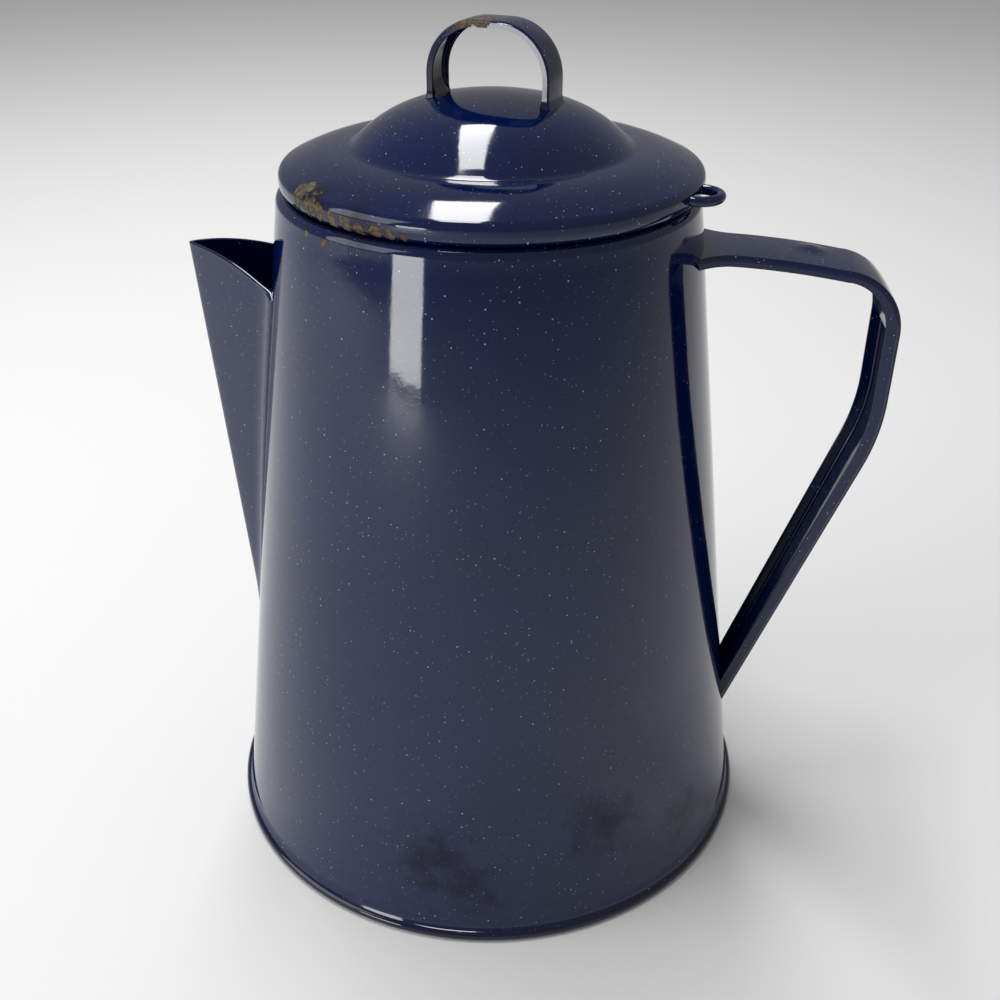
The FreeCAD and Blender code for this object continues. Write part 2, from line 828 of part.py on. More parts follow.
def write_parts(pieces):
    os.makedirs("parts", exist_ok=True)
    for piece in pieces:
        shape = piece.Shape
        if shape.isNull() or not shape.isValid() or not shape.Solids:
            raise RuntimeError("bad shape: " + piece.Label)
        box = shape.optimalBoundingBox(False, False)
        spans = (box.XMin, box.XMax, box.YMin, box.YMax, box.ZMin, box.ZMax)
        print("%-14s %d solid %9.1f mm3" % (piece.Label, len(shape.Solids), shape.Volume), end="")
        print("  x %7.2f %7.2f  y %7.2f %7.2f  z %7.2f %7.2f" % spans)
        shape.exportStep("parts/%s.step" % piece.Label)


def main():
    fill_table()
    pot = [make_base_pan(), make_body_shell(), make_mouth_bead(), make_spout()]
    handle = [make_handle_strap(), make_handle_liner()]
    centred_cover = make_lid_cover("centred_cover")
    eyelet = make_lid_eyelet(centred_cover)
    lid = [make_lid_cover("lid_cover"), make_lid_collar(), make_lid_loop(), eyelet]
    doc.recompute()
    seat_lid(lid)
    pump = [make_pump_tube(), make_pump_foot(), make_stem_stop()]
    basket = [make_basket_cup(), make_basket_sleeve(), make_basket_cover()]
    doc.recompute()
    check_document()
    write_parts(pot + handle + lid + pump + basket)


main()
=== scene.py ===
from math import atan2, ceil, cos, degrees, exp, hypot, pi, radians, sin, sqrt

import bmesh
import bpy
from mathutils import Matrix, Vector, noise


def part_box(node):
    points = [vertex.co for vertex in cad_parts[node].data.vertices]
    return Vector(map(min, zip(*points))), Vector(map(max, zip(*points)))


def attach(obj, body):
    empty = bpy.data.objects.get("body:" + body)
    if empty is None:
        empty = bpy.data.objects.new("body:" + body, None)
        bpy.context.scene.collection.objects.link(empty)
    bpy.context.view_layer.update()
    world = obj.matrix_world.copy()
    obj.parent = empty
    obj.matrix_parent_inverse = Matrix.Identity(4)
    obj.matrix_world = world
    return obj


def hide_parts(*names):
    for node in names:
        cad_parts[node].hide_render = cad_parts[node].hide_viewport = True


# A speckled-enamel camp percolator.  The frame is the CAD's: Z up from the plane the pot stands on,
# handle towards +X, spout towards -X.  Lengths in this file are millimetres; build() makes them metres.

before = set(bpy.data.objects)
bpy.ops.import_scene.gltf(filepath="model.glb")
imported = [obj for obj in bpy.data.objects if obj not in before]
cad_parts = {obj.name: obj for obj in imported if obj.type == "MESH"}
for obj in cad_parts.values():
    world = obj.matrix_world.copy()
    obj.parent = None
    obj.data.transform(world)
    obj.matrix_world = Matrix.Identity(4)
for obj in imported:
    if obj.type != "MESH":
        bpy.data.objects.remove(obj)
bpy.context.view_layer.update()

MM = 0.001


def span(node):
    """Lowest and highest corner of a CAD node."""
    low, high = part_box(node)
    return low / MM, high / MM


def clamp(value, low=0.0, high=1.0):
    return min(max(value, low), high)


def smooth(value, start, end):
    """0 at start, 1 at end, easing at both."""
    t = clamp((value - start) / (end - start))
    return t * t * (3 - 2 * t)


# ---------------------------------------------------------------- sizes from the frame

SHEET = 1.0  # enamelled steel

pan_high = span("base_pan")[1]
PAN_R = pan_high.x
SEAM_TOP = pan_high.z

FOOT_R = span("body_shell")[1].x
bead_low, bead_high = span("mouth_bead")
MOUTH_TOP = bead_high.z
ROLL_LOW = bead_low.z
WALL_LEAN = 0.12662  # radius lost per millimetre of height
MOUTH_ROLL = MOUTH_TOP - ROLL_LOW
MOUTH_R = 51.8


def wall_r(z):
    """Outer radius of the wall."""
    return bead_high.x + WALL_LEAN * (ROLL_LOW - z)


lid_low, lid_high = span("lid_cover")
eye_low, eye_high = span("lid_eyelet")
LID_TOP = lid_high.z
LID_SEAT = lid_low.z
LID_R = (lid_high.x - lid_low.x) / 2
LID_SHIFT = (lid_high.x + lid_low.x) / 2
LID_TURN = atan2(eye_low.y + eye_high.y, eye_low.x + eye_high.x - 2 * LID_SHIFT)
LID_PLACE = Matrix.Translation((LID_SHIFT * MM, 0, 0)) @ Matrix.Rotation(LID_TURN, 4, "Z")
EYE_Z = (eye_low.z + eye_high.z) / 2

collar_low, collar_high = span("lid_collar")
LOOP_TOP = span("lid_loop")[1].z

spout_low, spout_high = span("spout")
strap_low, strap_high = span("handle_strap")


# ---------------------------------------------------------------- outlines


def arc_points(start, end, radius, turn, count=None):
    """Points after start on the arc to end, to the left (turn 1) or to the right (turn -1)."""
    start, end = Vector(start), Vector(end)
    chord = end - start
    rise = sqrt(max(radius**2 - (chord.length / 2) ** 2, 0))
    left = Vector((-chord.y, chord.x)).normalized()
    centre = (start + end) / 2 + left * rise * turn
    first = atan2(start.y - centre.y, start.x - centre.x)
    swing = 2 * atan2(chord.length / 2, rise) * turn
    count = count or max(2, ceil(abs(degrees(swing)) / 6 - 0.01))
    angles = [first + swing * i / count for i in range(1, count + 1)]
    return [(centre.x + radius * cos(a), centre.y + radius * sin(a)) for a in angles]


def run_points(start, end, count):
    """Points after start on the straight run to end."""
    shares = [i / count for i in range(1, count + 1)]
    return [(start[0] + (end[0] - start[0]) * t, start[1] + (end[1] - start[1]) * t) for t in shares]


def trace(steps, longest=4.0):
    """Outline through steps of (x, y) for a straight run, or (x, y, radius, turn) for an arc."""
    points = [tuple(steps[0][:2])]
    for step in steps[1:]:
        start = points[-1]
        if len(step) == 4:
            points += arc_points(start, step[:2], step[2], step[3])
            continue
        count = max(1, ceil(hypot(step[0] - start[0], step[1] - start[1]) / longest))
        points += run_points(start, step, count)
    return points


# ---------------------------------------------------------------- meshes


def build(name, points, faces, material, body, nodes=(), place=None):
    """A smooth-shaded mesh piece that rides on a body and stands for CAD nodes."""
    mesh = bpy.data.meshes.new(name)
    mesh.from_pydata([Vector(p) * MM for p in points], [], faces)
    if place:
        mesh.transform(place)
    shell = bmesh.new()
    shell.from_mesh(mesh)
    bmesh.ops.recalc_face_normals(shell, faces=shell.faces)
    shell.to_mesh(mesh)
    shell.free()
    mesh.shade_smooth()
    mesh.set_sharp_from_angle(angle=radians(50))
    piece = bpy.data.objects.new(name, mesh)
    bpy.context.scene.collection.objects.link(piece)
    mesh.materials.append(material)
    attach(piece, body)
    if nodes:
        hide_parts(*nodes)
    return piece


def lathe(profile, sides=240, ripple=None):
    """Points and faces of a closed outline of (radius, height) turned about Z."""
    points, rings = [], []
    for r, z in profile:
        if r < 1e-6:
            rings.append([len(points)] * sides)
            points.append((0, 0, z))
            continue
        rings.append(list(range(len(points), len(points) + sides)))
        for i in range(sides):
            a = 2 * pi * i / sides
            grown = r + (ripple(a, z) if ripple else 0)
            points.append((grown * cos(a), grown * sin(a), z))
    faces = []
    for ring, following in zip(rings, rings[1:] + rings[:1]):
        for i in range(sides):
            j = (i + 1) % sides
            corners = dict.fromkeys((ring[i], ring[j], following[j], following[i]))
            if len(corners) > 2:
                faces.append(tuple(corners))
    return points, faces


def skin(rings, capped=True):
    """Points and faces over a row of closed outlines with equal numbers of points."""
    size = len(rings[0])
    points = [p for ring in rings for p in ring]
    faces = []
    for k in range(len(rings) - 1):
        for i in range(size):
            j = (i + 1) % size
            faces.append((k * size + i, k * size + j, (k + 1) * size + j, (k + 1) * size + i))
    if capped:
        faces.append(tuple(range(size)))
        faces.append(tuple(range(len(points) - size, len(points))))
    return points, faces


def joined(*parts):
    """Several lots of points and faces as one."""
    points, faces = [], []
    for some_points, some_faces in parts:
        base = len(points)
        points += some_points
        faces += [tuple(base + i for i in face) for face in some_faces]
    return points, faces


def tube(path, radius, sides=16):
    """Round rod along a path; radius is a function of the share of the path gone by."""
    path = [Vector(p) for p in path]
    across = None
    rings = []
    for i, p in enumerate(path):
        along = (path[min(i + 1, len(path) - 1)] - path[max(i - 1, 0)]).normalized()
        if across is None:
            across = along.orthogonal().normalized()
        across = (across - along * across.dot(along)).normalized()
        third = along.cross(across)
        r = radius(i / (len(path) - 1))
        turns = [2 * pi * k / sides for k in range(sides)]
        rings.append([p + r * (across * cos(a) + third * sin(a)) for a in turns])
    return skin(rings)


# ---------------------------------------------------------------- materials


def node(tree, kind, inputs=None, **settings):
    made = tree.nodes.new("ShaderNode" + kind)
    for key, value in settings.items():
        setattr(made, key, value)
    for key, value in (inputs or {}).items():
        if isinstance(value, bpy.types.NodeSocket):
            tree.links.new(value, made.inputs[key])
        else:
            made.inputs[key].default_value = value
    return made


def maths(tree, operation, *values, limit=False):
    inputs = dict(enumerate(values))
    return node(tree, "Math", inputs, operation=operation, use_clamp=limit).outputs[0]


def ramp(tree, value, start, end, low=0.0, high=1.0):
    """Smooth step of a value from low at start to high at end."""
    inputs = {"Value": value, "From Min": start, "From Max": end, "To Min": low, "To Max": high}
    return node(tree, "MapRange", inputs, interpolation_type="SMOOTHSTEP").outputs[0]


def mixed(tree, share, first, second):
    inputs = {0: share, 6: first, 7: second}
    return node(tree, "Mix", inputs, data_type="RGBA").outputs[2]


def new_material(name):
    material = bpy.data.materials.new(name)
    material.use_nodes = True
    tree = material.node_tree
    tree.nodes.clear()
    surface = node(tree, "BsdfPrincipled")
    out = node(tree, "OutputMaterial", {"Surface": surface.outputs[0]})
    out.target = "ALL"
    coords = node(tree, "TexCoord").outputs["Object"]
    return material, tree, surface, coords


def noise_at(tree, coords, size, detail=2.0, rough=0.5):
    """Noise whose features are about size millimetres across."""
    inputs = {"Vector": coords, "Scale": 1 / (size * MM), "Detail": detail, "Roughness": rough}
    return node(tree, "TexNoise", inputs).outputs[0]


def speck_layer(tree, coords, cell, largest, softness, shift):
    """Specks no bigger than largest in radius, one in each random cell, most of them smaller."""
    placed = node(tree, "Mapping", {"Vector": coords, "Location": (shift, shift, shift)}).outputs[0]
    cells = node(tree, "TexVoronoi", {"Vector": placed, "Scale": 1 / (cell * MM)}, feature="F1")
    chance = node(tree, "SeparateColor", {"Color": cells.outputs["Color"]}).outputs[0]
    radius = maths(tree, "MULTIPLY", maths(tree, "POWER", chance, 1.5), largest / cell)
    room = maths(tree, "SUBTRACT", radius, cells.outputs["Distance"])
    return maths(tree, "MULTIPLY", room, cell / softness, limit=True)


SPECKS = ((1.5, 0.23, 0.05, 0.013), (0.9, 0.13, 0.04, 0.057))  # cell, largest, softness, shift
COBALT = (0.0004, 0.0065, 0.052, 1)
COBALT_DEEP = (0.0003, 0.0053, 0.043, 1)
SPECK_WHITE = (0.27, 0.35, 0.47, 1)
RUST = (0.036, 0.023, 0.010, 1)
# Near black of burnt enamel and soot; it is also the colour of the painted shade on the lid loop
BURNT_AND_SHADE_BLACK = (0.006, 0.005, 0.005, 1)
BARE = (0.11, 0.08, 0.045, 1)
NEAR_BLACK = (0.001, 0.002, 0.006, 1)
ALUMINIUM = (0.62, 0.62, 0.61, 1)
ALUMINIUM_DULL = (0.50, 0.49, 0.46, 1)
ENAMEL_IOR = 1.52
RAGGEDNESS = 2.6  # how far the noise moves a patch's edge, in radii

# Damage, soot and painted shade, as (centre, radius) in the millimetres of the frame at rest
LOST_ENAMEL = (
    ((-40.0, -32.8, 196.6), 4.0),
    ((-37.2, -36.6, 195.2), 3.6),
    ((-34.2, -39.8, 194.2), 3.0),
    ((-31.0, -42.6, 193.4), 2.5),
    ((-27.6, -45.2, 193.2), 2.3),
    ((-24.0, -47.3, 193.0), 2.2),
    ((-20.4, -49.1, 192.9), 2.1),
    ((-16.8, -50.5, 192.8), 2.0),
    ((-13.6, -51.6, 192.6), 1.4),
    ((-2.0, -3.0, 231.6), 4.0),
    ((-6.5, -4.0, 231.0), 4.4),
    ((-10.0, -5.0, 229.6), 3.0),
    ((-38.9, -38.2, 188.3), 1.0),
    ((-33.5, -42.6, 187.8), 1.2),
    ((-26.9, -47.2, 187.5), 0.7),
)
SOOT_AND_PAINTED_SHADE = (
    ((-5.4, -75.4, 26.0), 17.0),
    ((3.5, -76.5, 17.0), 12.0),
    ((38.6, -64.1, 34.0), 14.0),
    ((60.0, -45.0, 20.0), 12.0),
    ((-36.8, -36.8, 195.6), 8.0),
    ((-24.0, -47.5, 192.6), 6.0),
    # These three are painted shade: they darken the lid loop's legs and top and dull their gloss
    ((-14.6, 2.0, 219.0), 12.0),
    ((17.0, -2.0, 219.0), 11.0),
    ((0.0, 4.0, 229.0), 9.0),
)


def patches(tree, coords, spots, ragged, soft):
    """Share of the surface inside any of the spots, with ragged edges."""
    rough = maths(tree, "SUBTRACT", noise_at(tree, coords, ragged, 5.0, 0.65), 0.5)
    share = None
    for centre, radius in spots:
        place = Vector(centre) * MM
        away = node(tree, "VectorMath", {0: coords, 1: place}, operation="DISTANCE").outputs["Value"]
        room = maths(tree, "SUBTRACT", 1.0, maths(tree, "DIVIDE", away, radius * MM))
        room = maths(tree, "MULTIPLY_ADD", rough, RAGGEDNESS, room)
        inside = ramp(tree, room, 0.0, soft)
        share = inside if share is None else maths(tree, "MAXIMUM", share, inside)
    return share


def enamel_colour(tree, coords):
    clouds = ramp(tree, noise_at(tree, coords, 28), 0.3, 0.7)
    colour = mixed(tree, clouds, COBALT, COBALT_DEEP)
    share = None
    for cell, largest, softness, shift in SPECKS:
        layer = speck_layer(tree, coords, cell, largest, softness, shift)
        share = layer if share is None else maths(tree, "MAXIMUM", share, layer)
    return mixed(tree, share, colour, SPECK_WHITE)


# Fired glass is never quite flat: size, detail and height of its waves, orange peel and grain
UNEVENNESS = ((34, 1.0, 0.12), (3.2, 2.0, 0.011), (0.7, 1.0, 0.0009))


def enamel_height(tree, coords):
    """Height of the fired glass in millimetres."""
    height = 0.0
    for size, detail, high in UNEVENNESS:
        height = maths(tree, "MULTIPLY_ADD", noise_at(tree, coords, size, detail), high, height)
    return height


def make_enamel(name, worn_and_painted_shade=True, shade=1.0):
    """Dark speckled enamel; where it is worn, it has burnt off and left rust, and soot darkens it; the
    same patches paint shade onto the lid loop.
    """
    material, tree, surface, coords = new_material(name)
    colour = enamel_colour(tree, coords)
    if shade < 1:
        colour = mixed(tree, shade, NEAR_BLACK, colour)
    rough = ramp(tree, noise_at(tree, coords, 9, 4.0), 0.35, 0.75, 0.055, 0.095)
    height = enamel_height(tree, coords)
    if worn_and_painted_shade:
        # Soot darkens and dulls the enamel; on the lid loop the same patches are painted shade
        soot_and_painted_shade = maths(tree, "MULTIPLY", patches(tree, coords, SOOT_AND_PAINTED_SHADE, 7.0, 1.1), 0.55)
        colour = mixed(tree, soot_and_painted_shade, colour, BURNT_AND_SHADE_BLACK)
        rough = maths(tree, "MULTIPLY_ADD", soot_and_painted_shade, 0.10, rough)
        gloss = maths(tree, "MULTIPLY_ADD", soot_and_painted_shade, -0.42, 0.5)
        tree.links.new(gloss, surface.inputs["Specular IOR Level"])
        burnt = patches(tree, coords, LOST_ENAMEL, 2.6, 0.12)
        lost = patches(tree, coords, [(c, 0.78 * r) for c, r in LOST_ENAMEL], 2.6, 0.10)
        metal = mixed(tree, ramp(tree, noise_at(tree, coords, 1.1, 4.0), 0.42, 0.62), RUST, BARE)
        colour = mixed(tree, lost, mixed(tree, burnt, colour, BURNT_AND_SHADE_BLACK), metal)
        rough = maths(tree, "MAXIMUM", rough, maths(tree, "MULTIPLY", lost, 0.62))
        height = maths(tree, "MULTIPLY_ADD", lost, -0.12, height)
    tree.links.new(colour, surface.inputs["Base Color"])
    tree.links.new(rough, surface.inputs["Roughness"])
    bump = node(tree, "Bump", {"Height": height, "Distance": MM, "Strength": 1.0}).outputs[0]
    tree.links.new(bump, surface.inputs["Normal"])
    surface.inputs["IOR"].default_value = ENAMEL_IOR
    return material


def make_aluminium():
    material, tree, surface, coords = new_material("spun_aluminium")
    stretched = node(tree, "Mapping", {"Vector": coords, "Scale": (0.02, 0.02, 1)}).outputs[0]
    lines = noise_at(tree, stretched, 0.35, 3.0)
    stain = ramp(tree, noise_at(tree, coords, 14, 4.0), 0.4, 0.7)
    colour = mixed(tree, stain, ALUMINIUM, ALUMINIUM_DULL)
    tree.links.new(colour, surface.inputs["Base Color"])
    tree.links.new(ramp(tree, lines, 0.3, 0.7, 0.26, 0.42), surface.inputs["Roughness"])
    bump = node(tree, "Bump", {"Height": lines, "Distance": 0.02 * MM, "Strength": 1.0}).outputs[0]
    tree.links.new(bump, surface.inputs["Normal"])
    surface.inputs["Metallic"].default_value = 1.0
    return material


enamel = make_enamel("cobalt_enamel")
seam_enamel = make_enamel("seam_enamel", worn_and_painted_shade=False, shade=0.45)
aluminium = make_aluminium()


# ---------------------------------------------------------------- the pot


def shell_ripple(angle, z):
    """Slight unevenness of a rolled and hand-dipped wall."""
    return 0.10 * noise.noise(Vector((2.2 * cos(angle), 2.2 * sin(angle), z / 45)))


def make_base_pan():
    seam_in = PAN_R - 3.6
    bead = SEAM_TOP / 2
    profile = trace(
        [
            (0, 2.0),
            (seam_in - 1.2, 2.0),
            (seam_in + 0.3, 0.3, 2.0, -1),
            (seam_in + 1.2, 0, 1.2, 1),
            (PAN_R - bead, 0),
            (PAN_R, bead, bead, 1),
            (PAN_R - bead, SEAM_TOP, bead, 1),
            (wall_r(SEAM_TOP) - 0.3, SEAM_TOP),
            (wall_r(SEAM_TOP) - 2.2, SEAM_TOP),
            (wall_r(SEAM_TOP) - 3.0, 2.0 + SHEET),
            (0, 2.0 + SHEET),
        ]
    )
    points, faces = lathe(profile)
    build("base_seam", points, faces, seam_enamel, "pot", ["base_pan"])


WALL_FLARE = 6.5  # the wall spreads over the seam below this height
STRAINER_ROWS = (1, 2, 3, 2, 3, 2, 3)
STRAINER_LOW = 92.0
STRAINER_PITCH = 9.0
STRAINER_HOLE = 1.6
DRILL_LONG = 12.0


def pierce(piece):
    """Cuts the strainer holes through the wall behind the spout."""
    r = STRAINER_HOLE * MM
    shape = {"cap_ends": True, "segments": 20, "radius1": r, "radius2": r, "depth": DRILL_LONG * MM}
    outwards = Matrix.Rotation(pi / 2, 4, "Y")
    drill = bmesh.new()
    for row, count in enumerate(STRAINER_ROWS):
        z = STRAINER_LOW + row * STRAINER_PITCH
        for k in range(count):
            across = (k - (count - 1) / 2) * STRAINER_PITCH
            place = Matrix.Translation(Vector((-wall_r(z), across, z)) * MM)
            bmesh.ops.create_cone(drill, matrix=place @ outwards, **shape)
    mesh = bpy.data.meshes.new("drill")
    drill.to_mesh(mesh)
    drill.free()
    cutter = bpy.data.objects.new("drill", mesh)
    bpy.context.scene.collection.objects.link(cutter)
    cut = piece.modifiers.new("strainer", "BOOLEAN")
    cut.object = cutter
    cut.operation = "DIFFERENCE"
    bpy.context.view_layer.update()
    evaluated = piece.evaluated_get(bpy.context.evaluated_depsgraph_get())
    pierced = bpy.data.meshes.new_from_object(evaluated)
    piece.modifiers.remove(cut)
    bpy.data.objects.remove(cutter)
    piece.data = pierced


def make_body_shell():
    roll_r = wall_r(ROLL_LOW)
    profile = trace(
        [
            (FOOT_R, SEAM_TOP - 0.4),
            (wall_r(WALL_FLARE), WALL_FLARE, 7.0, -1),
            (roll_r, ROLL_LOW),
            (roll_r - MOUTH_ROLL, MOUTH_TOP, MOUTH_ROLL, 1),
            (MOUTH_R, MOUTH_TOP - 0.45, 0.5, 1),
            (MOUTH_R, ROLL_LOW + 0.4),
            (roll_r - SHEET, ROLL_LOW - 1),
            (wall_r(SEAM_TOP) - SHEET, SEAM_TOP - 0.4),
        ]
    )
    points, faces = lathe(profile, ripple=shell_ripple)
    piece = build("pot_wall", points, faces, enamel, "pot", ["body_shell", "mouth_bead"])
    pierce(piece)


# ---------------------------------------------------------------- the lid


BRIM_R = 52.6
BRIM_DROP = 16.4
# The lid's outer face after the middle of the crown: radius, depth below the top, arc's radius and turn
LID_STEPS = (
    (18.0, 2.05, 80.0, -1),
    (34.0, 10.64, 34.5, -1),
    (34.9, 11.5),
    (36.9, 12.4, 3.2, 1),
    (BRIM_R, BRIM_DROP, 38.0, -1),
)
HEM_MIDDLE = 194.0
COLLAR_R = collar_high.x - LID_SHIFT


def lid_outside():
    steps = [(0, LID_TOP)] + [(step[0], LID_TOP - step[1]) + tuple(step[2:]) for step in LID_STEPS]
    return trace(steps, 1.5)


def lid_height(r):
    """Height of the lid's outer face at a radius."""
    outside = lid_outside()
    for (r0, z0), (r1, z1) in zip(outside, outside[1:]):
        if r <= r1:
            return z0 + (z1 - z0) * (r - r0) / (r1 - r0)
    return outside[-1][1]


def make_lid_cover():
    hem = trace(
        [
            (BRIM_R, LID_TOP - BRIM_DROP),
            (LID_R, HEM_MIDDLE + 1.0, 2.5, -1),
            (LID_R, HEM_MIDDLE),
            (LID_R - 1.75, LID_SEAT, 3.0, -1),
            (COLLAR_R, LID_SEAT),
            (COLLAR_R, lid_height(COLLAR_R) - SHEET),
        ],
        2.0,
    )
    inside = [(r, z - SHEET) for r, z in reversed(lid_outside()) if r < COLLAR_R - 0.5]
    points, faces = lathe(lid_outside() + hem[1:] + inside)
    build("lid_cap", points, faces, enamel, "lid", ["lid_cover"], place=LID_PLACE)


def make_lid_collar():
    low, high = collar_low.z, collar_high.z
    profile = trace(
        [
            (COLLAR_R - SHEET, low + 0.5),
            (COLLAR_R - SHEET / 2, low, 0.5, 1),
            (COLLAR_R, low + 0.5, 0.5, 1),
            (COLLAR_R, high),
            (COLLAR_R - SHEET, high),
        ]
    )
    points, faces = lathe(profile)
    build("lid_skirt", points, faces, enamel, "lid", ["lid_collar"], place=LID_PLACE)


LOOP_HALF = 16.5
LOOP_SHIFT = 0.5
LOOP_BEND = 13.5
LOOP_WIDE = 10.0
LOOP_DEEP = 2.3
LOOP_SHEET = 0.9
LOOP_ROUND = 0.45
LOOP_CROWN = 0.2
LOOP_FOOT_FLARE = 0.5


def channel_section(width, depth, wall, round_out, crown, fill=0.0):
    """Closed outline of a folded channel as (across, inward) points, its back at inward 0.
    crown bows the back outwards, and fill from 0 to 1 closes the channel with metal."""
    half = width / 2
    floor = wall + (depth - wall - 0.05) * fill
    lip = wall / 2
    inner_half = half - wall
    round_in = min(0.6, depth - floor)
    steps = [
        (-half, depth - lip),
        (-half, round_out),
        (-half + round_out, 0, round_out, -1),
        (half - round_out, 0),
        (half, round_out, round_out, -1),
        (half, depth - lip),
        (half - wall, depth - lip, lip, -1),
        (inner_half, floor + round_in),
        (inner_half - round_in, floor, round_in, 1),
        (-inner_half + round_in, floor),
        (-inner_half, floor + round_in, round_in, 1),
        (-inner_half, depth - lip),
        (-half, depth - lip, lip, -1),
    ]
    points = []
    for start, end in zip(steps, steps[1:]):
        if len(end) == 4:
            points += arc_points(start, end[:2], end[2], end[3], 5)
            continue
        points += run_points(start, end, 12 if abs(end[0] - start[0]) > 1e-6 else 2)
    bowed = []
    for across, inward in points:
        bow = crown * clamp(abs(across) / half) ** 2
        bowed.append((across, inward + bow if inward < depth / 2 + 0.01 else inward))
    return bowed


def make_lid_loop():
    flat = LOOP_HALF - LOOP_BEND
    bend_z = LOOP_TOP - LOOP_BEND
    foot = LID_TOP - 3.0
    outer = trace(
        [
            (LOOP_HALF, foot),
            (LOOP_HALF, bend_z),
            (flat, LOOP_TOP, LOOP_BEND, 1),
            (-flat, LOOP_TOP),
            (-LOOP_HALF, bend_z, LOOP_BEND, 1),
            (-LOOP_HALF, foot),
        ],
        0.4,
    )
    rings = []
    for i, (x, z) in enumerate(outer):
        before, after = outer[max(i - 1, 0)], outer[min(i + 1, len(outer) - 1)]
        along = Vector((after[0] - before[0], after[1] - before[1])).normalized()
        inward = Vector((-along.y, along.x))
        height = z - lid_height(abs(x))
        flare = LOOP_FOOT_FLARE * (1 - clamp(height / 2.0)) ** 2
        fill = 1 - smooth(height, 0.5, 4.0)
        section = channel_section(LOOP_WIDE, LOOP_DEEP, LOOP_SHEET, LOOP_ROUND, LOOP_CROWN, fill)
        spread = 1 + 2 * flare / LOOP_WIDE
        ring = []
        for across, deep in section:
            thick = deep + flare * (2 * deep / LOOP_DEEP - 1)
            px = x + inward.x * thick + LOOP_SHIFT
            py = across * spread
            pz = z + inward.y * thick
            ring.append((px, py, max(pz, lid_height(hypot(px, py)) - 0.5)))
        rings.append(ring)
    points, faces = skin(rings)
    build("lid_handle_loop", points, faces, enamel, "lid", ["lid_loop"], place=LID_PLACE)


EYE_HALF = (eye_high - eye_low).z / 2  # radius of the wire
EYE_BOW = 5.6
EYE_X = 53.9
EYE_ROOT = 51.4  # where its legs start, inside the hem


def make_lid_eyelet():
    path = [(EYE_ROOT + (EYE_X - EYE_ROOT) * i / 8, EYE_BOW, EYE_Z) for i in range(8)]
    for i in range(25):
        a = pi / 2 - pi * i / 24
        path.append((EYE_X + EYE_BOW * cos(a), EYE_BOW * sin(a), EYE_Z))
    path += [(x, -y, z) for x, y, z in reversed(path[:8])]

    def thickness(share):
        from_hem = min(share, 1 - share) / 0.12
        return EYE_HALF * (1 - 0.12 * smooth(from_hem, 0.3, 1))

    points, faces = tube(path, thickness)
    build("tether_eye", points, faces, enamel, "lid", ["lid_eyelet"], place=LID_PLACE)


# ---------------------------------------------------------------- the handle

STRAP_TOP = strap_high.z
STRAP_OUT = strap_high.x
ARCH_R = 227.0
ARCH_X = 54.0
DROOP = radians(10)
BEND_R = 17.0
BEND_X = STRAP_OUT - BEND_R
BEND_Z = 157.6
KNEE_Z = 138.6
KNEE_R = 60.0
KNEE_TURN = radians(19.25)
STRAP_WIDE = 21.0
STRAP_NARROW = 16.0
TAPER_TOP = 150.0
STRAP_DEEP = 4.6
ROOT_DEEP = 3.3
SADDLE_HALF = 15.5
SADDLE_END = 64.0
DIMPLE_X = 84.0
DIMPLE_Y = 3.5
DIMPLE_DEEP = 0.9


def strap_path(step=1.0):
    """Stations down the middle of the strap's outer face: x, z, and the direction of the run."""
    stations = []

    def arc(cx, cz, radius, start, end):
        count = ceil(abs(end - start) * radius / step)
        for i in range(count):
            a = start + (end - start) * i / count
            stations.append((cx + radius * cos(a), cz + radius * sin(a), a - pi / 2))

    arc(ARCH_X, STRAP_TOP - ARCH_R, ARCH_R, pi / 2, pi / 2 - DROOP)
    arc(BEND_X, BEND_Z, BEND_R, pi / 2 - DROOP, 0)
    count = ceil((BEND_Z - KNEE_Z) / step)
    for i in range(count):
        stations.append((STRAP_OUT, BEND_Z + (KNEE_Z - BEND_Z) * i / count, -pi / 2))
    knee_x = STRAP_OUT - KNEE_R
    arc(knee_x, KNEE_Z, KNEE_R, 0, -KNEE_TURN)
    x, z = knee_x + KNEE_R * cos(KNEE_TURN), KNEE_Z - KNEE_R * sin(KNEE_TURN)
    heading = -pi / 2 - KNEE_TURN
    while x > wall_r(z) - 1.5:
        stations.append((x, z, heading))
        x += step * cos(heading)
        z += step * sin(heading)
    stations.append((x, z, heading))
    return stations


def strap_half(x, z):
    half = STRAP_WIDE / 2
    if z < TAPER_TOP:
        low = strap_low.z - STRAP_DEEP
        half -= (STRAP_WIDE - STRAP_NARROW) / 2 * (TAPER_TOP - z) / (TAPER_TOP - low)
    elif x < SADDLE_END:
        half += (SADDLE_HALF - half) * ((SADDLE_END - x) / (SADDLE_END - ARCH_X)) ** 2
    return half


def onto_wall(point, run):
    """The point moved along run until it lies just inside the wall's face."""
    p = Vector(point)
    for _ in range(12):
        gap = hypot(p.x, p.y) - (wall_r(p.z) - 0.3)
        p -= run * gap / max(0.2, run.x)
    return p


def dimple(x, across):
    """Depth of the dent in the top of the handle."""
    return DIMPLE_DEEP * exp(-(((x - DIMPLE_X) / 3.2) ** 2) - ((across - DIMPLE_Y) / 3.0) ** 2)


def land(rings, first, step, count, run):
    """Moves an end of the rings onto the wall along run, the shift fading over count rings."""
    for k in range(len(rings[first])):
        shift = onto_wall(rings[first][k], run) - rings[first][k]
        for i in range(count):
            rings[first + step * i][k] = rings[first + step * i][k] + shift * (1 - i / count)


